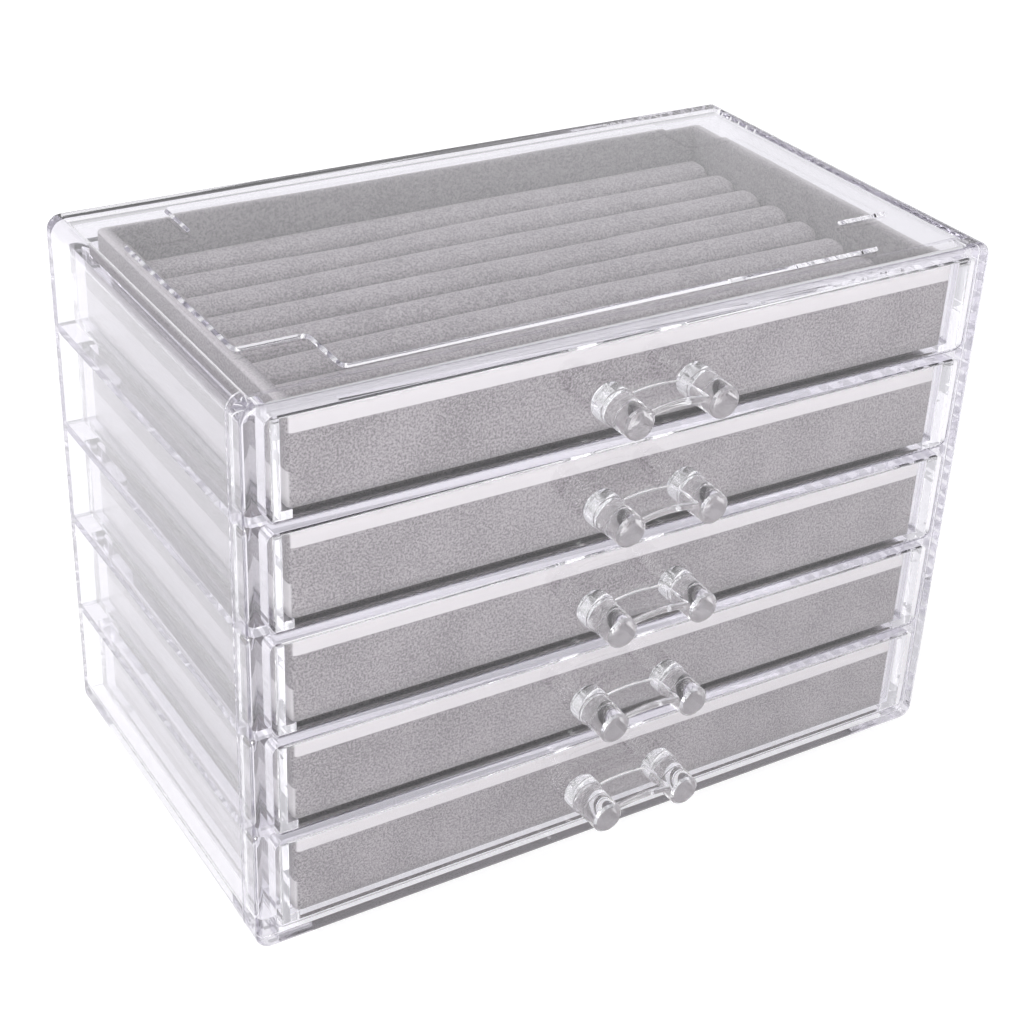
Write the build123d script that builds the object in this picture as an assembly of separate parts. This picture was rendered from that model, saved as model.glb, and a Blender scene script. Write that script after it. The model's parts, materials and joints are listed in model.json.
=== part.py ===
"""Clear five-drawer jewellery box with velvet-lined drawers.

The case is clear acrylic: a five-sided shell, a moulded front frame, four shelves and four corner
pads in the recess underneath. Each drawer is a clear tray with a moulded handle, a velvet-covered
liner and a velvet floor pad. The top drawer holds a row of padded ring rolls, and two of the lower
drawers have dividers.

Millimetres. The origin is the centre of the case's footprint, on the surface that it stands on.
+X is to the right, -Y is the front, where the drawers pull out, and +Z is up.
"""

import os
from math import radians, tan

from build123d import *

# Case
WIDTH = 235.0
DEPTH = 134.0
HEIGHT = 168.0
WALL = 3.0
CORNER_RADIUS = 4.5  # the case's four long outer edges
INNER_RADIUS = 2.0
FRAME_DEPTH = 9.3
FRAME_SIDE = 5.9  # width of the front frame's upright members
FRONT_RADIUS = 1.8  # outer edge of the front frame
OPENING_RADIUS = 2.5
SEAM_CHAMFER = 0.35  # groove round the case where the frame meets the shell
SOFT_EDGE = 0.4  # radius that moulding leaves on an edge
WELD = 0.05  # how far two welded pieces run into each other
CLEARANCE = 0.3  # between a moving piece and what it slides past
OVERSHOOT = 1.0  # how far a cutting shape reaches past what it cuts
NEAR = 0.1  # how close an edge has to be to a plane to count as lying on it

# Drawer bays, counted from the bottom
BAYS = 5
PITCH = 32.2
LOWEST_FLOOR = 6.5
BAY_HEIGHT = PITCH - WALL

# Underside
BASE_RECESS = 3.5
SKIRT_SIDE = 8.5
SKIRT_BACK = 6.0
PAD_SIZE = 11.0
PAD_INSET = 1.5  # gap between a front pad and the frame

# Top: a rim, a channel inside it, and a raised field with its corners notched for stacking
RIM_SIDE = 3.9
RIM_FRONT = 5.5
RIM_BACK = 7.0
CHANNEL_DEPTH = 1.2
RIM_SLOPE_ANGLE = 53.0
FIELD_HALF_WIDTH = 105.5
FIELD_FRONT_GAP = 11.5  # from the case's front to the raised field
FIELD_HEIGHT = 1.0
FIELD_SLOPE_ANGLE = 35.0
NOTCH = 20.0
NOTCH_RADIUS = 2.0

# Drawer tray, heights from the floor of its bay
TRAY_WIDTH = 220.0
TRAY_WALL = 3.0
TRAY_BACK_GAP = 0.6
PANEL_TOP = 28.5
TRAY_TOP = 23.2
GUSSET_LENGTH = 11.0  # run of the side wall's curved rise behind the front panel
LEDGE_WIDTH = 3.0
LEDGE_THICKNESS = 1.6

# Handle
POST_SPACING = 27.0
POST_HEIGHT = 11.5  # post centre above the bay's floor
POST_LENGTH = 15.3
COLLAR_LENGTH = 4.6
COLLAR_RADIUS = 5.5
POST_ROOT_RADIUS = 5.1
POST_END_RADIUS = 4.75
POST_BEVEL = 0.7
WEB_BACK_GAP = 2.2
WEB_DEPTH = 11.5
WEB_THICKNESS = 2.3
WEB_RISE = 2.3
WEB_EDGE_RADIUS = 0.8

# Velvet liner, heights from the floor of its bay
LINER_BOTTOM = 2.0
LINER_HALF_WIDTH = 105.0
LINER_SIDE_WALL = 4.0
LINER_FRONT_WALL = 4.0
LINER_BACK_WALL = 2.4
LINER_GAP = 0.2  # between the liner and the tray's end walls
LINER_TOP = 27.3
LINER_EDGE_RADIUS = 0.8
PAD_THICKNESS = 2.2
PAD_GAP = 0.2

# Ring rolls
ROLLS = 8
ROLL_PITCH = 14.3
ROLL_RADIUS = 7.05
ROLL_FLAT = 0.35  # how far each roll's underside is flattened
ROLL_END_GAP = 0.4

# Dividers
DIVIDER_THICKNESS = 2.4
DIVIDER_HEIGHT = 16.0
DIVIDER_GAP = 0.2
CROSS_DIVIDERS = 3
LONG_CHANNELS = 3

# Worked out from the above
FRONT = -DEPTH / 2
BACK = DEPTH / 2
SEAM = FRONT + FRAME_DEPTH
INNER_HALF_WIDTH = WIDTH / 2 - WALL
INNER_BACK = BACK - WALL
INNER_TOP = LOWEST_FLOOR + BAYS * PITCH - WALL
TRAY_BACK = INNER_BACK - TRAY_BACK_GAP
TRAY_FRONT_INSIDE = FRONT + TRAY_WALL
TRAY_BACK_INSIDE = TRAY_BACK - TRAY_WALL
LINER_FRONT = TRAY_FRONT_INSIDE + LINER_GAP
LINER_BACK = TRAY_BACK_INSIDE - LINER_GAP
POCKET_HALF_WIDTH = LINER_HALF_WIDTH - LINER_SIDE_WALL
POCKET_FRONT = LINER_FRONT + LINER_FRONT_WALL
POCKET_BACK = LINER_BACK - LINER_BACK_WALL
POCKET_FLOOR = LINER_BOTTOM + PAD_THICKNESS


def floor_of(drawer):
    """Height of the bay floor under a drawer. Drawer 1 is the top one."""
    return LOWEST_FLOOR + (BAYS - drawer) * PITCH


def block(x, y, z):
    """A box from its ranges along X, Y and Z."""
    centre = [(low + high) / 2 for low, high in (x, y, z)]
    size = [high - low for low, high in (x, y, z)]
    return Pos(*centre) * Box(*size)


def along_y(outline, front, back):
    """An outline drawn in X and Z as a solid from y = front to y = back."""
    return extrude(Plane.XZ.offset(-back) * outline, back - front)


def along_x(outline, half_width):
    """An outline drawn in Y and Z as a solid, centred on x = 0."""
    return extrude(Plane.YZ.offset(-half_width) * outline, 2 * half_width)


def case_outline():
    """The case seen from the front: a rectangle with rounded corners that stands on z = 0."""
    return Pos(0, HEIGHT / 2) * RectangleRounded(WIDTH, HEIGHT, CORNER_RADIUS)


def bay_outline(floor, half_width, radius):
    """The rounded opening of one bay, seen from the front."""
    return Pos(0, floor + BAY_HEIGHT / 2) * RectangleRounded(2 * half_width, BAY_HEIGHT, radius)


def rectangle_between(x_half, front, back):
    """A rectangle seen from above, centred on x = 0."""
    return Pos(0, (front + back) / 2) * Rectangle(2 * x_half, back - front)


def top_channel():
    """What is cut from the top: the sunk area inside the rim, less the raised field."""
    bottom = HEIGHT - CHANNEL_DEPTH
    slope_width = CHANNEL_DEPTH * tan(radians(RIM_SLOPE_ANGLE))
    half_width = WIDTH / 2 - RIM_SIDE - slope_width
    front = FRONT + RIM_FRONT + slope_width
    back = BACK - RIM_BACK - slope_width
    sunk = Plane.XY.offset(bottom) * rectangle_between(half_width, front, back)
    sunk = extrude(sunk, CHANNEL_DEPTH + NEAR, taper=-RIM_SLOPE_ANGLE)
    field_front = FRONT + FIELD_FRONT_GAP
    field = rectangle_between(FIELD_HALF_WIDTH, field_front, back)
    for side in (-1, 1):
        for end_y, inward in ((field_front, 1), (back, -1)):
            corner = Pos(side * (FIELD_HALF_WIDTH - NOTCH / 2), end_y + inward * NOTCH / 2)
            field -= corner * Rectangle(NOTCH, NOTCH)
    field = fillet(field.vertices(), NOTCH_RADIUS)
    field = extrude(Plane.XY.offset(bottom) * field, FIELD_HEIGHT, taper=FIELD_SLOPE_ANGLE)
    return sunk - field


def case_shell(channel):
    """Top, bottom, sides and back in one moulding, open at the front, with a recess underneath."""
    shell = along_y(case_outline(), SEAM, BACK)
    shell = chamfer(shell.faces().sort_by(Axis.Y)[0].edges(), SEAM_CHAMFER)
    shell = fillet(shell.faces().sort_by(Axis.Y)[-1].edges(), FRONT_RADIUS)
    height = INNER_TOP - LOWEST_FLOOR
    cavity = RectangleRounded(2 * INNER_HALF_WIDTH, height, INNER_RADIUS)
    cavity = Pos(0, LOWEST_FLOOR + height / 2) * cavity
    shell -= along_y(cavity, SEAM - OVERSHOOT, INNER_BACK)
    recess_half = WIDTH / 2 - SKIRT_SIDE
    recess_y = (SEAM - OVERSHOOT, BACK - SKIRT_BACK)
    shell -= block((-recess_half, recess_half), recess_y, (-OVERSHOOT, BASE_RECESS))
    return shell - channel


def front_frame(channel):
    """The moulded frame round the drawer fronts: two uprights, a head, a sill and four crossbars."""
    frame = along_y(case_outline(), FRONT, SEAM + WELD)
    frame = fillet(frame.faces().sort_by(Axis.Y)[0].edges(), FRONT_RADIUS)
    frame = chamfer(frame.faces().sort_by(Axis.Y)[-1].edges(), SEAM_CHAMFER)
    for drawer in range(1, BAYS + 1):
        opening = bay_outline(floor_of(drawer), WIDTH / 2 - FRAME_SIDE, OPENING_RADIUS)
        frame -= along_y(opening, FRONT - OVERSHOOT, SEAM + OVERSHOOT)
    side = WIDTH / 2 - FRAME_SIDE + NEAR
    mouths = frame.edges().filter_by_position(Axis.Y, FRONT - NEAR, FRONT + NEAR)
    mouths = mouths.filter_by_position(Axis.X, -side, side)
    mouths = mouths.filter_by_position(Axis.Z, LOWEST_FLOOR - NEAR, INNER_TOP + NEAR)
    frame = fillet(mouths, SOFT_EDGE)
    return frame - channel


def shelf(number):
    """The clear plate between two bays. Shelf 1 is the top one, under drawer 1."""
    top = floor_of(number)
    half = INNER_HALF_WIDTH + WELD
    return block((-half, half), (SEAM, INNER_BACK + WELD), (top - WALL, top))


def corner_feet():
    """Four pads in the corners of the recess underneath, level with the skirt."""
    outer = WIDTH / 2 - SKIRT_SIDE + WELD
    back = BACK - SKIRT_BACK
    front_pads = (SEAM + PAD_INSET, SEAM + PAD_INSET + PAD_SIZE)
    back_pads = (back - PAD_SIZE, back + WELD)
    pads = []
    for side in (-1, 1):
        x = sorted((side * outer, side * (outer - PAD_SIZE)))
        for y in (front_pads, back_pads):
            pad = block(x, y, (0, BASE_RECESS + WELD))
            pads.append(chamfer(pad.faces().sort_by(Axis.Z)[0].edges(), SOFT_EDGE))
    return Compound(children=pads)


def tray(drawer):
    """A drawer's clear body: the front panel, two side walls that rise to it in a curve, the back
    wall and a narrow ledge along the foot of the walls that carries the liner."""
    floor = floor_of(drawer)
    bottom = floor + CLEARANCE
    side_top = floor + TRAY_TOP
    panel_top = floor + PANEL_TOP
    gusset_end = TRAY_FRONT_INSIDE + GUSSET_LENGTH
    lines = [
        Line((FRONT, bottom), (TRAY_BACK, bottom)),
        Line((TRAY_BACK, bottom), (TRAY_BACK, side_top)),
        Line((TRAY_BACK, side_top), (gusset_end, side_top)),
        TangentArc((gusset_end, side_top), (TRAY_FRONT_INSIDE, panel_top), tangent=(-1, 0)),
        Line((TRAY_FRONT_INSIDE, panel_top), (FRONT, panel_top)),
        Line((FRONT, panel_top), (FRONT, bottom)),
    ]
    body = along_x(make_face(lines), TRAY_WIDTH / 2)
    body = fillet(body.faces().sort_by(Axis.Y)[0].edges(), SOFT_EDGE)
    back_edges = body.faces().sort_by(Axis.Y)[-1].edges()
    body = fillet(back_edges.filter_by(Axis.Z), 2 * SOFT_EDGE)
    inside = TRAY_WIDTH / 2 - TRAY_WALL
    ledge_top = bottom + LEDGE_THICKNESS
    room_y = (TRAY_FRONT_INSIDE, TRAY_BACK_INSIDE)
    body -= block((-inside, inside), room_y, (ledge_top, panel_top + OVERSHOOT))
    inside -= LEDGE_WIDTH
    opening_y = (TRAY_FRONT_INSIDE, TRAY_BACK_INSIDE - LEDGE_WIDTH)
    body -= block((-inside, inside), opening_y, (bottom - OVERSHOOT, ledge_top + OVERSHOOT))
    return body


def handle(drawer):
    """Two round posts with collars, joined by an arched web that the fingers pull on."""
    height = floor_of(drawer) + POST_HEIGHT
    end = -POST_LENGTH
    outline = Polyline(
        (0, WELD),
        (COLLAR_RADIUS, WELD),
        (COLLAR_RADIUS, -COLLAR_LENGTH),
        (POST_ROOT_RADIUS, -COLLAR_LENGTH),
        (POST_END_RADIUS, end + POST_BEVEL),
        (POST_END_RADIUS - POST_BEVEL, end),
        (0, end),
        close=True,
    )
    post = revolve(make_face(outline), Axis.Y)
    half_span = POST_SPACING / 2
    half_web = WEB_THICKNESS / 2
    arch = [
        ThreePointArc((-half_span, half_web), (0, half_web + WEB_RISE), (half_span, half_web)),
        Line((half_span, half_web), (half_span, -half_web)),
        ThreePointArc((half_span, -half_web), (0, WEB_RISE - half_web), (-half_span, -half_web)),
        Line((-half_span, -half_web), (-half_span, half_web)),
    ]
    web = along_y(make_face(arch), -WEB_BACK_GAP - WEB_DEPTH, -WEB_BACK_GAP)
    web = fillet(web.edges().filter_by(GeomType.CIRCLE), WEB_EDGE_RADIUS)
    joined = Pos(-half_span, 0, 0) * post + Pos(half_span, 0, 0) * post + web
    return Pos(0, FRONT, height) * joined


def liner(drawer):
    """The velvet-covered card walls that stand inside a tray, all of one height."""
    floor = floor_of(drawer)
    bottom = floor + LINER_BOTTOM
    top = floor + LINER_TOP
    walls = block((-LINER_HALF_WIDTH, LINER_HALF_WIDTH), (LINER_FRONT, LINER_BACK), (bottom, top))
    walls = fillet(walls.edges().filter_by(Axis.Z), 2 * LINER_EDGE_RADIUS)
    pocket_x = (-POCKET_HALF_WIDTH, POCKET_HALF_WIDTH)
    pocket_z = (bottom - OVERSHOOT, top + OVERSHOOT)
    return walls - block(pocket_x, (POCKET_FRONT, POCKET_BACK), pocket_z)


def floor_pad(drawer):
    """The velvet-covered board that closes the foot of a liner."""
    bottom = floor_of(drawer) + LINER_BOTTOM
    half = POCKET_HALF_WIDTH - PAD_GAP
    y = (POCKET_FRONT + PAD_GAP, POCKET_BACK - PAD_GAP)
    return block((-half, half), y, (bottom, bottom + PAD_THICKNESS))


def ring_roll(number):
    """One padded roll across the top drawer. Roll 1 is at the back. A ring stands between two."""
    base = floor_of(1) + POCKET_FLOOR
    y = POCKET_BACK - ROLL_PITCH * (number - 0.5)
    half = POCKET_HALF_WIDTH - ROLL_END_GAP
    centre = Pos(0, y, base + ROLL_RADIUS - ROLL_FLAT)
    roll = centre * Rot(0, 90, 0) * Cylinder(ROLL_RADIUS, 2 * half)
    reach = ROLL_RADIUS + OVERSHOOT
    past_end = half + OVERSHOOT
    return roll - block((-past_end, past_end), (y - reach, y + reach), (base - reach, base))


def divider_range(drawer):
    """Heights of the lower and upper edges of a drawer's dividers."""
    base = floor_of(drawer) + POCKET_FLOOR + DIVIDER_GAP
    return (base, base + DIVIDER_HEIGHT)


def cross_positions():
    """Where the crosswise dividers stand along X: evenly, so that all cells are equally long."""
    step = 2 * POCKET_HALF_WIDTH / (CROSS_DIVIDERS + 1)
    return [-POCKET_HALF_WIDTH + step * (place + 1) for place in range(CROSS_DIVIDERS)]


def lengthwise(y, z):
    """A strip along the whole width of the pocket."""
    half_length = POCKET_HALF_WIDTH - DIVIDER_GAP
    half = DIVIDER_THICKNESS / 2
    return block((-half_length, half_length), (y - half, y + half), z)


def halved_divider(drawer):
    """The lengthwise divider of a drawer of eight cells, slotted from above for the crosswise ones."""
    low, high = divider_range(drawer)
    strip = lengthwise((POCKET_FRONT + POCKET_BACK) / 2, (low, high))
    slot = DIVIDER_THICKNESS / 2 + DIVIDER_GAP
    for x in cross_positions():
        strip -= block((x - slot, x + slot), (FRONT, BACK), ((low + high) / 2, high + OVERSHOOT))
    return strip


def cross_dividers(drawer):
    """The crosswise dividers, slotted from below where they cross the lengthwise one."""
    low, high = divider_range(drawer)
    middle = (POCKET_FRONT + POCKET_BACK) / 2
    half = DIVIDER_THICKNESS / 2
    slot_y = (middle - half - DIVIDER_GAP, middle + half + DIVIDER_GAP)
    slot_z = (low - OVERSHOOT, (low + high) / 2 + DIVIDER_GAP)
    y = (POCKET_FRONT + DIVIDER_GAP, POCKET_BACK - DIVIDER_GAP)
    strips = []
    for x in cross_positions():
        strip = block((x - half, x + half), y, (low, high))
        strip -= block((x - half - OVERSHOOT, x + half + OVERSHOOT), slot_y, slot_z)
        strips.append(strip)
    return Compound(children=strips)


def channel_dividers(drawer):
    """The lengthwise dividers of a drawer of long channels."""
    step = (POCKET_BACK - POCKET_FRONT) / LONG_CHANNELS
    places = [POCKET_FRONT + step * (place + 1) for place in range(LONG_CHANNELS - 1)]
    return Compound(children=[lengthwise(y, divider_range(drawer)) for y in places])


def pieces():
    """Every piece of the box, by name."""
    channel = top_channel()
    named = {
        "case_shell": case_shell(channel),
        "front_frame": front_frame(channel),
        "corner_feet": corner_feet(),
    }
    for number in range(1, BAYS):
        named[f"shelf_{number}"] = shelf(number)
    for drawer in range(1, BAYS + 1):
        named[f"drawer_{drawer}_tray"] = tray(drawer)
        named[f"drawer_{drawer}_handle"] = handle(drawer)
        named[f"drawer_{drawer}_liner"] = liner(drawer)
        named[f"drawer_{drawer}_floor_pad"] = floor_pad(drawer)
    for number in range(1, ROLLS + 1):
        named[f"ring_roll_{number}"] = ring_roll(number)
    named["drawer_2_long_divider"] = halved_divider(2)
    named["drawer_2_cross_dividers"] = cross_dividers(2)
    named["drawer_3_channel_dividers"] = channel_dividers(3)
    return named


os.makedirs("parts", exist_ok=True)
for name, piece in pieces().items():
    export_step(piece, f"parts/{name}.step")
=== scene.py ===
# %% [markdown]
# # A clear acrylic jewellery box
# The box is a clear case with five drawers that pull out to the front. Nearly everything one sees
# is either clear acrylic or grey velvet, so two finishes make up the whole look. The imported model
# gives every clear part its true shape, and light bends through it as it does in the real one.

# %% Load the model
import json
import math

import bmesh
import bpy
import numpy as np
from mathutils import Matrix, Vector


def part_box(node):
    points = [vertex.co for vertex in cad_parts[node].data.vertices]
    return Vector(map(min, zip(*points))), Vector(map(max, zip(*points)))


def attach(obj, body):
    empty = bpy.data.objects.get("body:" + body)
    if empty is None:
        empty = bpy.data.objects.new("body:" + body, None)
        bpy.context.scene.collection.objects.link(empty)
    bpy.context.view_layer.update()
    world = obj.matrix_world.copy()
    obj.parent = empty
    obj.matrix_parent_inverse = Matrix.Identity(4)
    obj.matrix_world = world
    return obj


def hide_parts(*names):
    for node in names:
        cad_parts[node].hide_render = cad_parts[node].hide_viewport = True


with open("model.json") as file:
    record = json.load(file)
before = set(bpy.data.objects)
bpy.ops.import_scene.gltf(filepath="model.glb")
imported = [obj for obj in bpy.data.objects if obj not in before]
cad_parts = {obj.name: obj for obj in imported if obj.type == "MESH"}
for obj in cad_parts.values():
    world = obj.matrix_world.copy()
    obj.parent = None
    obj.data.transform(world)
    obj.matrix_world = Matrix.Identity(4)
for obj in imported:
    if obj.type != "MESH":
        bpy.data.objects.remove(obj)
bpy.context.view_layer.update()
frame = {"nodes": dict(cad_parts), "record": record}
MM = 0.001
DRAWERS = range(1, 6)

# %% [markdown]
# ## Studio
# A clear object shows what is round it, so the studio is most of its look. The floor and the sky are
# pale. The sky is a little darker overhead and in front, which draws soft grey lines in the edges of
# the acrylic. A plain lamp would burn small spots into it, so the lamps are wide.

# %% Floor and sky
scene = bpy.context.scene


def grid_mesh(name, points, close_u=False, close_v=False, cap_ends=False):
    """A mesh from an array of points with two parameters, u down the rows and v along them. A closed
    parameter joins its last row or column to its first. Caps fill the first and last rows."""
    rows, columns = points.shape[:2]
    index = np.arange(rows * columns).reshape(rows, columns)
    if close_u:
        index = np.concatenate([index, index[:1]], 0)
    if close_v:
        index = np.concatenate([index, index[:, :1]], 1)
    corners = (index[:-1, :-1], index[1:, :-1], index[1:, 1:], index[:-1, 1:])
    faces = np.stack(corners, -1).reshape(-1, 4).tolist()
    if cap_ends:
        faces.append(list(range(columns)))
        faces.append(list(range(rows * columns - 1, (rows - 1) * columns - 1, -1)))
    mesh = bpy.data.meshes.new(name)
    mesh.from_pydata(points.reshape(-1, 3).tolist(), [], faces)
    mesh.validate()
    mesh.shade_smooth()
    piece = bpy.data.objects.new(name, mesh)
    scene.collection.objects.link(piece)
    return piece


def flat_floor(half_size, height):
    """A level square of points at one height."""
    line = np.linspace(-half_size, half_size, 9)
    x, y = np.meshgrid(line, line, indexing="xy")
    return np.stack([x, y, np.full_like(x, height)], -1)


FLOOR_HALF = 3.0
FLOOR_GLOW = 0.66  # lifts the floor to plain white, also where the box takes light from it
FLOOR_DROP = 0.3 * MM  # keeps the floor just clear of the skirt's underside
floor = grid_mesh("studio_floor", flat_floor(FLOOR_HALF, -FLOOR_DROP))

paper = bpy.data.materials.new("studio_paper")
paper.use_nodes = True
paper_shader = paper.node_tree.nodes["Principled BSDF"]
paper_shader.inputs["Base Color"].default_value = (0.5, 0.5, 0.505, 1)
paper_shader.inputs["Roughness"].default_value = 0.9
paper_shader.inputs["Specular IOR Level"].default_value = 0.1
paper_shader.inputs["Emission Color"].default_value = (1, 1, 1, 1)
paper_shader.inputs["Emission Strength"].default_value = FLOOR_GLOW
floor.data.materials.append(paper)


def make_sky(front_grey, back_white, overhead):
    """A sky whose brightness goes from front to back, and fades towards a darker top."""
    world = bpy.data.worlds.new("studio_sky")
    world.use_nodes = True
    nodes, links = world.node_tree.nodes, world.node_tree.links
    background = nodes["Background"]
    direction = nodes.new("ShaderNodeTexCoord")
    split = nodes.new("ShaderNodeSeparateXYZ")
    links.new(direction.outputs["Generated"], split.inputs[0])
    along = nodes.new("ShaderNodeMapRange")
    along.inputs["From Min"].default_value = -0.6
    along.inputs["From Max"].default_value = 0.3
    along.inputs["To Min"].default_value = front_grey
    along.inputs["To Max"].default_value = back_white
    links.new(split.outputs["Y"], along.inputs["Value"])
    upward = nodes.new("ShaderNodeMapRange")
    upward.inputs["From Min"].default_value = 0.35
    upward.inputs["From Max"].default_value = 1.0
    upward.inputs["To Min"].default_value = 1.0
    upward.inputs["To Max"].default_value = overhead
    links.new(split.outputs["Z"], upward.inputs["Value"])
    product = nodes.new("ShaderNodeMath")
    product.operation = "MULTIPLY"
    links.new(along.outputs[0], product.inputs[0])
    links.new(upward.outputs[0], product.inputs[1])
    links.new(product.outputs[0], background.inputs["Strength"])
    background.inputs["Color"].default_value = (0.985, 0.99, 1.0, 1)
    scene.world = world


make_sky(front_grey=0.8, back_white=1.0, overhead=0.35)


def soft_lamp(name, place, aim, size, power):
    """A wide square lamp at place that looks at aim."""
    lamp = bpy.data.lights.new(name, "AREA")
    lamp.shape = "SQUARE"
    lamp.size = size
    lamp.energy = power
    holder = bpy.data.objects.new(name, lamp)
    scene.collection.objects.link(holder)
    turn = (Vector(aim) - Vector(place)).to_track_quat("-Z", "Y")
    holder.matrix_world = Matrix.Translation(place) @ turn.to_matrix().to_4x4()
    return holder


soft_lamp("front_lamp", (-0.5, -1.3, 1.1), (0, 0, 0.08), 0.9, 12.5)
back_lamp = soft_lamp("back_lamp", (-0.6, 0.75, 1.25), (0, 0, 0.1), 0.6, 14)
back_lamp.visible_glossy = False
back_lamp.visible_transmission = False
scene.view_settings.view_transform = "Standard"
LIGHT_TURNS = 256  # light that a plate guides from one end to the other turns this often
scene.cycles.max_bounces = LIGHT_TURNS
scene.cycles.transmission_bounces = LIGHT_TURNS
scene.cycles.glossy_bounces = LIGHT_TURNS
scene.cycles.transparent_max_bounces = LIGHT_TURNS

# %% [markdown]
# ## Camera
# The camera stands to the left of the front and looks down at the box. It leans a little to one side.

# %% Camera
CAMERA_PLACE = (-0.2816, -0.4454, 0.3831)
CAMERA_AZIMUTH = math.radians(-32.37)
CAMERA_ELEVATION = math.radians(30.37)
CAMERA_LEAN = math.radians(2.68)
CAMERA_LENS = 69.66


def camera_turn(azimuth, elevation, lean):
    """Right, up and backward directions of a camera that looks inward from an azimuth and elevation."""
    level = math.cos(elevation)
    back = Vector((math.sin(azimuth) * level, -math.cos(azimuth) * level, math.sin(elevation)))
    right = Vector((0, 0, 1)).cross(back).normalized()
    up = back.cross(right)
    leaned_right = right * math.cos(lean) + up * math.sin(lean)
    leaned_up = back.cross(leaned_right)
    return Matrix((leaned_right, leaned_up, back)).transposed()


camera_data = bpy.data.cameras.new("camera")
camera_data.lens = CAMERA_LENS
camera_data.sensor_width = 36
camera_data.clip_start = 0.01
camera = bpy.data.objects.new("camera", camera_data)
scene.collection.objects.link(camera)
turn = camera_turn(CAMERA_AZIMUTH, CAMERA_ELEVATION, CAMERA_LEAN)
camera.matrix_world = Matrix.Translation(CAMERA_PLACE) @ turn.to_4x4()
scene.camera = camera

# %% [markdown]
# ## Clear acrylic
# Cast and moulded acrylic bends light by 1.49. Its faces are smooth but never quite flat: the mould
# leaves a slow ripple, and handling leaves hair-fine rub marks. The first helper makes a node group of
# such marks, the second the material. Lamps would throw black shadows through solid acrylic, so for
# their rays alone the material turns transparent.

# %% Helpers for node trees


def new_group(name, inputs, outputs):
    """A shader node group with the named value inputs and outputs, and its inner ends."""
    group = bpy.data.node_groups.new(name, "ShaderNodeTree")
    for label, kind, default in inputs:
        socket = group.interface.new_socket(label, in_out="INPUT", socket_type=kind)
        if default is not None:
            socket.default_value = default
    for label, kind in outputs:
        group.interface.new_socket(label, in_out="OUTPUT", socket_type=kind)
    start = group.nodes.new("NodeGroupInput")
    end = group.nodes.new("NodeGroupOutput")
    return group, start, end


def add(tree, kind, **values):
    """A node of one kind in a tree, with its settings and unlinked inputs given by name."""
    node = tree.nodes.new(kind)
    for key, value in values.items():
        if hasattr(node, key):
            setattr(node, key, value)
        else:
            node.inputs[key.replace("_", " ")].default_value = value
    return node


def make_marks_group():
    """Ripple and rub marks: two sizes of noise, and a noise stretched along one direction."""
    inputs = [
        ("Vector", "NodeSocketVector", None),
        ("Ripple Scale", "NodeSocketFloat", 25.0),
        ("Mark Scale", "NodeSocketFloat", 900.0),
        ("Mark Share", "NodeSocketFloat", 0.1),
    ]
    outputs = [("Height", "NodeSocketFloat"), ("Marks", "NodeSocketFloat")]
    group, start, end = new_group("surface_marks", inputs, outputs)
    link = group.links.new
    ripple = add(group, "ShaderNodeTexNoise", Detail=2.0, Roughness=0.4)
    link(start.outputs["Vector"], ripple.inputs["Vector"])
    link(start.outputs["Ripple Scale"], ripple.inputs["Scale"])
    stretch = add(group, "ShaderNodeMapping")
    stretch.inputs["Scale"].default_value = (0.04, 1.0, 0.4)
    stretch.inputs["Rotation"].default_value = (0.3, 0.5, 0.9)
    link(start.outputs["Vector"], stretch.inputs["Vector"])
    hair = add(group, "ShaderNodeTexNoise", Detail=3.0, Roughness=0.6)
    link(stretch.outputs["Vector"], hair.inputs["Vector"])
    link(start.outputs["Mark Scale"], hair.inputs["Scale"])
    edge = add(group, "ShaderNodeMath", operation="SUBTRACT")
    edge.inputs[0].default_value = 0.75
    link(start.outputs["Mark Share"], edge.inputs[1])
    chosen = add(group, "ShaderNodeMapRange")
    chosen.inputs["From Max"].default_value = 0.8
    link(hair.outputs["Fac"], chosen.inputs["Value"])
    link(edge.outputs[0], chosen.inputs["From Min"])
    link(ripple.outputs["Fac"], end.inputs["Height"])
    link(chosen.outputs[0], end.inputs["Marks"])
    return group


SURFACE_MARKS = make_marks_group()

# %% The acrylic material
ACRYLIC_IOR = 1.49


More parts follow.
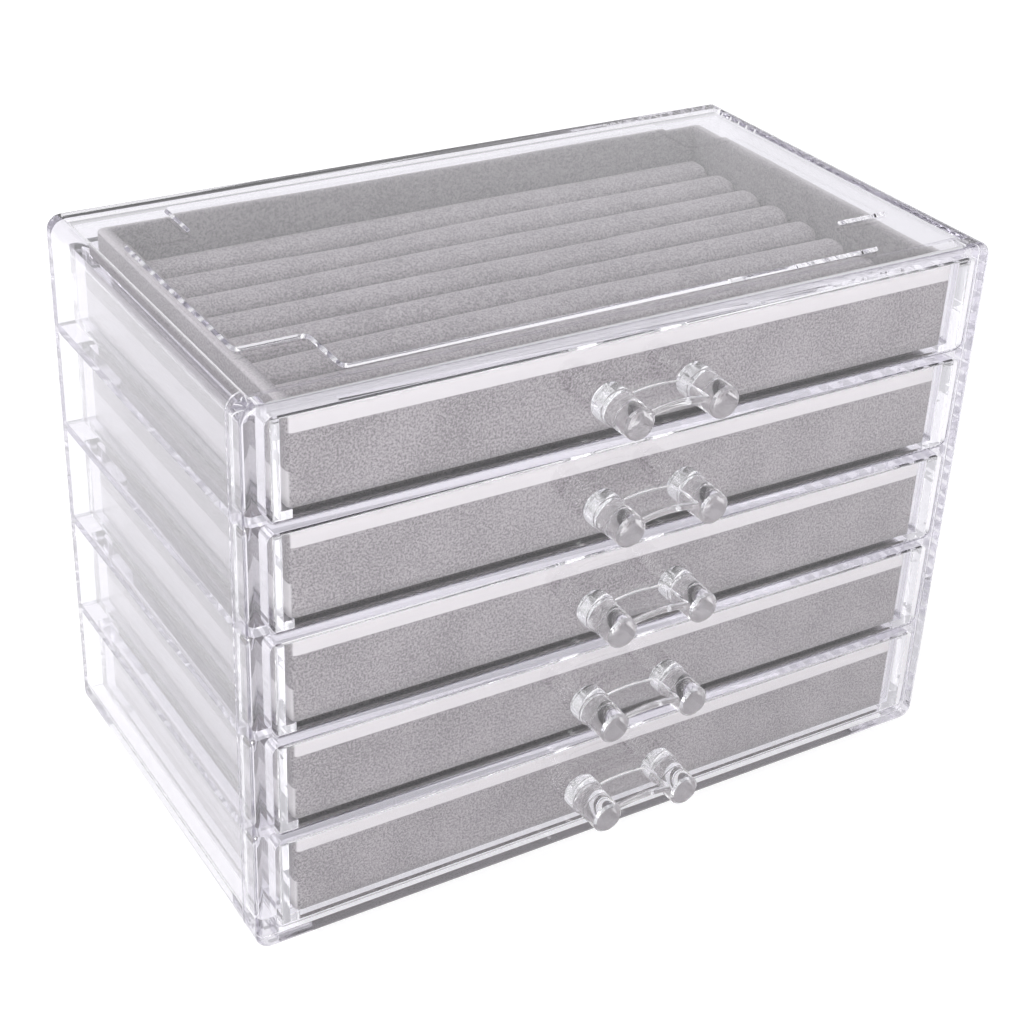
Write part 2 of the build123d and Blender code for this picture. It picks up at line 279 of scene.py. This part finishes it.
def make_acrylic(name, ripple_scale, ripple_depth, tint):
    """Clear acrylic with a moulding ripple and hair-fine marks that blur it where they lie."""
    material = bpy.data.materials.new(name)
    material.use_nodes = True
    tree = material.node_tree
    link = tree.links.new
    shader = tree.nodes["Principled BSDF"]
    shader.inputs["Base Color"].default_value = (*tint, 1)
    shader.inputs["IOR"].default_value = ACRYLIC_IOR
    shader.inputs["Transmission Weight"].default_value = 1.0
    place = add(tree, "ShaderNodeTexCoord")
    marks = add(tree, "ShaderNodeGroup", node_tree=SURFACE_MARKS)
    marks.inputs["Ripple Scale"].default_value = ripple_scale
    link(place.outputs["Object"], marks.inputs["Vector"])
    rough = add(tree, "ShaderNodeMapRange")
    rough.inputs["To Min"].default_value = 0.0
    rough.inputs["To Max"].default_value = 0.02
    link(marks.outputs["Marks"], rough.inputs["Value"])
    link(rough.outputs[0], shader.inputs["Roughness"])
    bump = add(tree, "ShaderNodeBump")
    bump.inputs["Strength"].default_value = 1.0
    bump.inputs["Distance"].default_value = ripple_depth
    link(marks.outputs["Height"], bump.inputs["Height"])
    link(bump.outputs["Normal"], shader.inputs["Normal"])
    ray = add(tree, "ShaderNodeLightPath")
    passing = add(tree, "ShaderNodeBsdfTransparent")
    passing.inputs["Color"].default_value = (0.965, 0.965, 0.97, 1)
    choice = add(tree, "ShaderNodeMixShader")
    link(ray.outputs["Is Shadow Ray"], choice.inputs["Fac"])
    link(shader.outputs["BSDF"], choice.inputs[1])
    link(passing.outputs["BSDF"], choice.inputs[2])
    link(choice.outputs[0], tree.nodes["Material Output"].inputs["Surface"])
    return material


def dress(names, material):
    """Gives the named CAD nodes one material."""
    for name in names:
        node = frame["nodes"][name]
        node.data.materials.clear()
        node.data.materials.append(material)


case_acrylic = make_acrylic("case_acrylic", 22.0, 0.012 * MM, (0.87, 0.86, 0.89))
drawer_acrylic = make_acrylic("drawer_acrylic", 35.0, 0.012 * MM, (0.93, 0.925, 0.945))
handle_acrylic = make_acrylic("handle_acrylic", 60.0, 0.01 * MM, (0.99, 0.99, 0.995))
clear_parts = [part for part in frame["record"]["subparts"] if part["material_slot"] == "clear_acrylic"]
clear_nodes = [part["node"] for part in clear_parts]
dress([name for name in clear_nodes if not name.startswith("drawer")], case_acrylic)
dress([name for name in clear_nodes if name.endswith("tray")], drawer_acrylic)
dress([name for name in clear_nodes if name.endswith("handle")], handle_acrylic)
print("clear parts:", len(clear_nodes))

# %% [markdown]
# ## Grey velvet
# Velvet is a short upright pile. Seen along the pile it is dark, seen across it the tips catch light,
# so the shader has a soft sheen. The pile lies unevenly: a fine grain, and larger smooth patches
# where it was stroked one way. The card behind shows on the outside of the liner below the hem.

# %% Velvet material


def make_pile_group():
    """Pile: fine grain and broad stroked patches as one brightness, and a height for the bump."""
    inputs = [
        ("Vector", "NodeSocketVector", None),
        ("Grain Scale", "NodeSocketFloat", 1600.0),
        ("Patch Scale", "NodeSocketFloat", 60.0),
    ]
    outputs = [("Brightness", "NodeSocketFloat"), ("Height", "NodeSocketFloat")]
    group, start, end = new_group("velvet_pile", inputs, outputs)
    link = group.links.new
    grain = add(group, "ShaderNodeTexNoise", Detail=3.0, Roughness=0.7)
    link(start.outputs["Vector"], grain.inputs["Vector"])
    link(start.outputs["Grain Scale"], grain.inputs["Scale"])
    patch = add(group, "ShaderNodeTexNoise", Detail=2.0, Roughness=0.5)
    link(start.outputs["Vector"], patch.inputs["Vector"])
    link(start.outputs["Patch Scale"], patch.inputs["Scale"])
    share = add(group, "ShaderNodeMix", data_type="FLOAT")
    share.inputs["Factor"].default_value = 0.12
    link(grain.outputs["Fac"], share.inputs["A"])
    link(patch.outputs["Fac"], share.inputs["B"])
    link(share.outputs["Result"], end.inputs["Brightness"])
    link(grain.outputs["Fac"], end.inputs["Height"])
    return group


VELVET_PILE = make_pile_group()


def make_velvet(name, dark, light, card_and_light):
    """Velvet between a dark and a light tone. It is mixed towards a darker copy of the dark tone where
    the shade attribute paints shade, in the roll valleys and inside the liner walls. It takes the
    card's pale tone where the card-and-light attribute is 1: bare card below the hem, and painted
    light on the front strip above the velvet and on the top edge."""
    material = bpy.data.materials.new(name)
    material.use_nodes = True
    tree = material.node_tree
    link = tree.links.new
    shader = tree.nodes["Principled BSDF"]
    place = add(tree, "ShaderNodeTexCoord")
    pile = add(tree, "ShaderNodeGroup", node_tree=VELVET_PILE)
    link(place.outputs["Object"], pile.inputs["Vector"])
    tone = add(tree, "ShaderNodeValToRGB")
    tone.color_ramp.elements[0].position = 0.41
    tone.color_ramp.elements[0].color = (*dark, 1)
    tone.color_ramp.elements[1].position = 0.59
    tone.color_ramp.elements[1].color = (*light, 1)
    link(pile.outputs["Brightness"], tone.inputs["Fac"])
    painted_shade = add(tree, "ShaderNodeAttribute", attribute_name="painted_shade")
    # Painted shade: towards a darker copy of the dark tone where the shade attribute is high.
    flat = add(tree, "ShaderNodeMix", data_type="RGBA")
    link(painted_shade.outputs["Fac"], flat.inputs["Factor"])
    link(tone.outputs["Color"], flat.inputs["A"])
    flat.inputs["B"].default_value = (*(0.35 * value for value in dark), 1)
    # The card's pale tone: bare card below the hem, painted light on the front strip and the top edge.
    card_and_light_mask = add(tree, "ShaderNodeAttribute", attribute_name="card_and_light")
    mixed = add(tree, "ShaderNodeMix", data_type="RGBA")
    link(card_and_light_mask.outputs["Fac"], mixed.inputs["Factor"])
    link(flat.outputs["Result"], mixed.inputs["A"])
    mixed.inputs["B"].default_value = (*card_and_light, 1)
    link(mixed.outputs["Result"], shader.inputs["Base Color"])
    shader.inputs["Roughness"].default_value = 0.9
    shader.inputs["Specular IOR Level"].default_value = 0.15
    shader.inputs["Sheen Weight"].default_value = 0.25
    shader.inputs["Sheen Roughness"].default_value = 0.45
    shader.inputs["Sheen Tint"].default_value = (0.95, 0.93, 0.95, 1)
    bump = add(tree, "ShaderNodeBump")
    bump.inputs["Strength"].default_value = 0.5
    bump.inputs["Distance"].default_value = 0.07 * MM
    link(pile.outputs["Height"], bump.inputs["Height"])
    link(bump.outputs["Normal"], shader.inputs["Normal"])
    return material


velvet = make_velvet("grey_velvet", (0.2, 0.185, 0.193), (0.47, 0.44, 0.452), (0.74, 0.715, 0.72))

# %% [markdown]
# ## Liners
# Each liner is a strip of card bent into four walls and wrapped in velvet, so its edges are round and
# not quite straight. The wall is a closed section carried once round the drawer: up the inside, over
# the top and down the outside. The velvet comes down over the outside as a hem, and the card shows
# below it. On the front wall it is the other way round: velvet below, and above it a pale strip in the
# card's tone that is painted light, a bright band where the acrylic guides light. The inside of the
# walls is painted a shade darker, and the outside of the top edge paler, as a painted highlight.

# %% Liner walls
LINER_SIDE = 4.0 * MM
LINER_FRONT = 4.0 * MM
LINER_BACK = 2.4 * MM
EDGE_ROUND = 0.9 * MM
OUTER_CORNER = 1.8 * MM
INNER_CORNER = 0.8 * MM
SIDE_STEPS = 60
CORNER_STEPS = 6
TOP_WANDER = 0.15 * MM
HEM_HEIGHT = 10.0 * MM  # lower edge of the hem on the sides and the back, from the liner's foot
STRIP_HEIGHT = 20.6 * MM  # upper edge of the front's velvet, and lower edge of the pale strip of painted light above it, from the liner's foot
HEM_SHARP = 0.08 * MM
INSIDE_SHADE = 0.35  # painted shade: share of a darker tone on the inside faces of the walls, where the drawer's depth shades them
FOLD_HIGHLIGHT = 0.4  # how much paler the outside of the top edge is painted, a painted highlight
SIDE_CARD = 0.95  # how much of the card's tone shows on the sides, where velvet dust clings to it


def rounded_outline(low, high, radius, per_side, per_corner):
    """Points round a rectangle with round corners: each corner an arc, each side evenly divided."""
    centres = np.array([[high[0], high[1]], [low[0], high[1]], [low[0], low[1]], [high[0], low[1]]])
    centres = centres + np.array([[-1, -1], [1, -1], [1, 1], [-1, 1]]) * radius
    rows = []
    for corner in range(4):
        angle = np.linspace(0, np.pi / 2, per_corner) + corner * np.pi / 2
        arc = centres[corner] + radius * np.stack([np.cos(angle), np.sin(angle)], -1)
        after = centres[(corner + 1) % 4] + radius * np.array([np.cos(angle[-1]), np.sin(angle[-1])])
        share = np.linspace(0, 1, per_side + 2)[1:-1, None]
        rows.append(np.concatenate([arc, arc[-1] * (1 - share) + after * share]))
    return np.concatenate(rows)


def wave(place, lengths, size):
    """A slow wander along a line: a few sines whose lengths don't divide each other."""
    total = sum(np.sin(place / length + 1.7 * number) for number, length in enumerate(lengths))
    return size * total / len(lengths)


def wall_heights(wall):
    """Heights of the rows up a wall's face, with two close rows at each edge of the velvet."""
    marks = np.array([HEM_HEIGHT, STRIP_HEIGHT])
    close = np.concatenate([marks - HEM_SHARP, marks + HEM_SHARP])
    even = np.linspace(0, wall - EDGE_ROUND, 9)[:-1]
    return np.sort(np.concatenate([close, even]))


def liner_walls(low, high):
    """The wall section at every point round the outline, from the foot of the inside face up to its
    round top edge, across, and down the outside face. The top wanders a little."""
    outer = rounded_outline(low[:2], high[:2], OUTER_CORNER, SIDE_STEPS, CORNER_STEPS)
    inner_low = (low[0] + LINER_SIDE, low[1] + LINER_FRONT)
    inner_high = (high[0] - LINER_SIDE, high[1] - LINER_BACK)
    inner = rounded_outline(inner_low, inner_high, INNER_CORNER, SIDE_STEPS, CORNER_STEPS)
    across = outer - inner
    thickness = np.linalg.norm(across, axis=-1, keepdims=True)
    outward = across / thickness
    wall = high[2] - low[2]
    heights = wall_heights(wall)
    angle = np.linspace(0, np.pi / 2, 6)
    depth = np.concatenate([np.zeros(len(heights)), EDGE_ROUND * (1 - np.cos(angle))])
    rise = np.concatenate([heights, wall - EDGE_ROUND * (1 - np.sin(angle))])
    depth = np.concatenate([np.tile(depth, (len(inner), 1)), thickness - depth[::-1]], 1)
    rise = np.concatenate([rise, rise[::-1]])
    sag = wave(inner[:, 0] + 1.3 * inner[:, 1], (0.009, 0.023, 0.041), TOP_WANDER) - TOP_WANDER
    z = low[2] + rise + sag[:, None] * (rise > STRIP_HEIGHT + MM)
    xy = inner[:, None, :] + outward[:, None, :] * depth[..., None]
    return np.concatenate([xy, z[..., None]], -1)


def card_and_light_share(points, low):
    """1 on the front strip, the card's pale tone painted as light above the velvet; less where bare
    card shows on the sides and back below the hem, and on the top edge, painted paler as a highlight; 0
    on velvet.
    """
    columns = points.shape[1]
    outside = (np.arange(columns) >= columns // 2)[None, :]
    height = points[..., 2] - low[2]
    front = points[:, -1:, 1] < low[1] + 0.5 * MM
    below_hem = ~front & (height < HEM_HEIGHT)
    fold_highlight = ~front & (height > height.max() - EDGE_ROUND)
    light_strip = front & (height > STRIP_HEIGHT)
    return outside * (SIDE_CARD * below_hem + FOLD_HIGHLIGHT * fold_highlight + 1.0 * light_strip)


def set_share(piece, name, share):
    """Stores one number per point of a piece, for its material to read."""
    attribute = piece.data.attributes.new(name, "FLOAT", "POINT")
    attribute.data.foreach_set("value", np.ascontiguousarray(share, dtype=np.float32).ravel())


def make_liner(drawer):
    """The liner of one drawer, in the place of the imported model's plain one."""
    node = f"drawer_{drawer}_liner"
    low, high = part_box(node)
    points = liner_walls(low, high)
    piece = grid_mesh(f"{node}_velvet", points, close_u=True, close_v=True)
    set_share(piece, "card_and_light", card_and_light_share(points, low))
    columns = points.shape[1]
    # Painted shade on the inside faces of the walls.
    inside_shade = (np.arange(columns) < columns // 2) * INSIDE_SHADE
    set_share(piece, "painted_shade", np.broadcast_to(inside_shade, points.shape[:2]))
    piece.data.materials.append(velvet)
    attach(piece, f"drawer_{drawer}")
    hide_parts(node)
    return piece


liners = [make_liner(drawer) for drawer in DRAWERS]
print("liner faces:", len(liners[0].data.polygons))

# %% [markdown]
# ## Boards and dividers
# Floor boards and dividers are card wrapped in velvet too: flat faces with soft round edges. One
# helper makes them all. It takes the directions of a ball, pushes each one out to a corner of the
# box, and lets the ball's own roundness make the edges.

# %% Wrapped boards
BOARD_ROUND = 0.9 * MM
DIVIDER_ROUND = 1.1 * MM
DIVIDER_THICKNESS = 2.4 * MM


def soft_board(low, high, radius, rings=17, sectors=32):
    """A box with round edges: each direction of a ball, times the radius, added to the corner of a
    smaller box on the same side. Directions that lie on an axis stay in the middle of a face."""
    low, high = np.array(low), np.array(high)
    polar = np.linspace(0, np.pi, rings)[:, None]
    turn = (np.arange(sectors) + 0.5) * 2 * np.pi / sectors
    direction = np.stack(
        [np.cos(polar) + 0 * turn, np.sin(polar) * np.cos(turn), np.sin(polar) * np.sin(turn)], -1
    )
    radius = min(radius, (high - low).min() / 2 - 0.01 * MM)
    inner = (high - low) / 2 - radius
    side = np.sign(np.where(np.abs(direction) < 1e-9, 0, direction))
    side[rings // 2, :, 0] = 0
    return (low + high) / 2 + side * inner + radius * direction


def dress_soft(piece, drawer, node):
    """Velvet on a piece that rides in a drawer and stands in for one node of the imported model."""
    piece.data.materials.append(velvet)
    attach(piece, f"drawer_{drawer}")
    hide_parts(node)
    return piece


def make_floor_board(drawer):
    """The board that closes the foot of one liner."""
    node = f"drawer_{drawer}_floor_pad"
    low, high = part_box(node)
    piece = grid_mesh(f"{node}_velvet", soft_board(low, high, BOARD_ROUND), close_v=True)
    return dress_soft(piece, drawer, node)


floor_boards = [make_floor_board(drawer) for drawer in DRAWERS]


def strips_of(node, count, axis):
    """The boxes of a node's equal strips, spread along one axis from the first to the last."""
    low, high = (np.array(corner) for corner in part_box(node))
    starts = np.linspace(low[axis], high[axis] - DIVIDER_THICKNESS, count)
    boxes = []
    for start in starts:
        first, last = low.copy(), high.copy()
        first[axis] = start
        last[axis] = start + DIVIDER_THICKNESS
        boxes.append((first, last))
    return boxes


def make_dividers(drawer, node, count, axis):
    """All strips of one node as one piece."""
    boards = [soft_board(*box, DIVIDER_ROUND) for box in strips_of(node, count, axis)]
    parts = [grid_mesh("strip", board, close_v=True) for board in boards]
    whole = parts[0]
    if count > 1:
        with bpy.context.temp_override(active_object=whole, selected_editable_objects=parts):
            bpy.ops.object.join()
    whole.name = f"{node}_velvet"
    return dress_soft(whole, drawer, node)


dividers = [
    make_dividers(2, "drawer_2_long_divider", 1, 1),
    make_dividers(2, "drawer_2_cross_dividers", 3, 0),
    make_dividers(3, "drawer_3_channel_dividers", 2, 1),
]
print("boards:", len(floor_boards), "dividers:", len(dividers))

# %% [markdown]
# ## Ring rolls
# A ring roll is a bar of foam in a velvet sleeve. Pressed side by side, the rolls stay round on top
# and go flat where they touch, and rings are pinched in the valleys between them. A computed bar alone
# would be too even, so each one is filled from inside as cloth, which gives the sleeve its small
# uneven swellings. The motion is capped, because the real foam holds the sleeve to its round shape.

# %% Ring rolls
ROLLS = range(1, 9)
ROLL_END_ROUND = 2.2 * MM
ROLL_SQUARED = 0.97  # 1 is a round section, less is squarer
ROLL_SWELL = 0.012  # share by which a roll's size wanders along it
SLEEVE_SLACK = 0.35 * MM  # how much smaller than its room a roll starts, before it is filled
SLEEVE_SQUARE = 1.7 * MM  # size of the cloth's squares
SLEEVE_LARGER = 0.04  # share by which the cloth is larger than what it covers
SLEEVE_CAP = 0.6 * MM  # the furthest that a point may move
SLEEVE_FRAMES = 20


def roll_surface(low, high, seed):
    """A round section carried along X. It is squared a little so that neighbours touch flat, its size
    wanders slowly along the roll, and at each end it closes in a quarter round."""
    centre_y = (low[1] + high[1]) / 2
    half_width = (high[1] - low[1]) / 2
    half_height = (high[2] - low[2]) / 2
    centre_z = (low[2] + high[2]) / 2
    bend = np.linspace(0, np.pi / 2, 7)
    ends = ROLL_END_ROUND * (1 - np.cos(bend))[::-1]
    inset = ROLL_END_ROUND * (1 - np.sin(bend))[::-1]
    middle = np.linspace(low[0] + ROLL_END_ROUND, high[0] - ROLL_END_ROUND, 70)[1:-1]
    x = np.concatenate([low[0] + inset[::-1], middle, high[0] - inset])
    shrink = np.concatenate([ends, np.zeros(len(middle)), ends[::-1]])
    turn = np.linspace(0, 2 * np.pi, 40, endpoint=False)
    cosine, sine = np.cos(turn), np.sin(turn)
    y_shape = np.sign(cosine) * np.abs(cosine) ** ROLL_SQUARED
    z_shape = np.sign(sine) * np.abs(sine) ** ROLL_SQUARED
    swell = 1 - ROLL_SWELL + ROLL_SWELL * np.sin(x / 0.017 + seed) * np.cos(x / 0.031 + 2 * seed)
    width = half_width * swell - shrink
    height = half_height * swell - shrink
    y = centre_y + width[:, None] * y_shape
    z = centre_z + height[:, None] * z_shape
    return np.stack([np.repeat(x[:, None], len(turn), 1), y, z], -1)


def even_mesh(piece):
    """The piece's surface rebuilt in small squares of one size, as cloth needs."""
    remesh = piece.modifiers.new("even", "REMESH")
    remesh.mode = "VOXEL"
    remesh.voxel_size = SLEEVE_SQUARE
    even = bpy.data.meshes.new_from_object(piece.evaluated_get(bpy.context.evaluated_depsgraph_get()))
    piece.modifiers.clear()
    piece.data = even
    even.shade_smooth()


def positions(mesh):
    """All points of a mesh as one array."""
    flat = np.empty(3 * len(mesh.vertices), dtype=np.float32)
    mesh.vertices.foreach_get("co", flat)
    return flat.reshape(-1, 3).astype(float)


def fill_sleeve(piece, low, high):
    """Blows the sleeve up from inside with cloth that is a little too large for it, so that it
    puckers. No point moves further than the cap, or out of the room that the roll has."""
    even_mesh(piece)
    cloth = piece.modifiers.new("sleeve", "CLOTH")
    cloth.settings.use_pressure = True
    cloth.settings.uniform_pressure_force = 4
    cloth.settings.shrink_min = -SLEEVE_LARGER
    cloth.settings.effector_weights.gravity = 0
    cloth.point_cache.frame_start = 1
    cloth.point_cache.frame_end = SLEEVE_FRAMES
    for step in range(1, SLEEVE_FRAMES + 1):
        scene.frame_set(step)
    filled = piece.evaluated_get(bpy.context.evaluated_depsgraph_get())
    after = positions(filled.to_mesh())
    piece.modifiers.clear()
    scene.frame_set(1)
    before = positions(piece.data)
    move = after - before
    length = np.linalg.norm(move, axis=1, keepdims=True)
    move = move * np.minimum(1, SLEEVE_CAP / np.maximum(length, 1e-9))
    placed = np.clip(before + move, np.array(low), np.array(high))
    piece.data.vertices.foreach_set("co", placed.astype(np.float32).ravel())
    piece.data.update()
    smooth = piece.modifiers.new("smooth", "SUBSURF")
    smooth.levels = 1
    smooth.render_levels = 1
    return placed


def valley_shade(points, low, high):
    """Painted shade in the valleys: 0 on the crown, rising to its most where neighbours touch."""
    middle = (low[2] + high[2]) / 2
    above = (points[..., 2] - middle) / (high[2] - middle)
    return 0.9 * np.clip(1 - above / 0.8, 0, 1) ** 1.5


def make_roll(number):
    """One roll of the top drawer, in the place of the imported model's plain one."""
    node = f"ring_roll_{number}"
    low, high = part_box(node)
    points = roll_surface(np.array(low) + SLEEVE_SLACK, np.array(high) - SLEEVE_SLACK, 1.9 * number)
    piece = grid_mesh(f"{node}_velvet", points, close_v=True, cap_ends=True)
    placed = fill_sleeve(piece, low, high)
    # Painted shade in the valleys between the rolls.
    set_share(piece, "painted_shade", valley_shade(placed, low, high))
    dress_soft(piece, 1, node)
    return piece


rolls = [make_roll(number) for number in ROLLS]
print("rolls:", len(rolls), "faces each:", len(rolls[0].data.polygons))

# %% [markdown]
# ## Faces outward
# The pieces built from grids have their doubled points merged and their faces turned outward. The
# rolls need neither, because the rebuilt cloth surface already is closed and faces outward.

# %% Normals


def turn_faces_out(piece):
    """Recalculates a closed mesh's faces so that they point outward, after merging doubled points."""
    work = bmesh.new()
    work.from_mesh(piece.data)
    bmesh.ops.remove_doubles(work, verts=work.verts, dist=0.001 * MM)
    bmesh.ops.recalc_face_normals(work, faces=work.faces)
    work.to_mesh(piece.data)
    work.free()


for piece in [*liners, *floor_boards, *dividers]:
    turn_faces_out(piece)
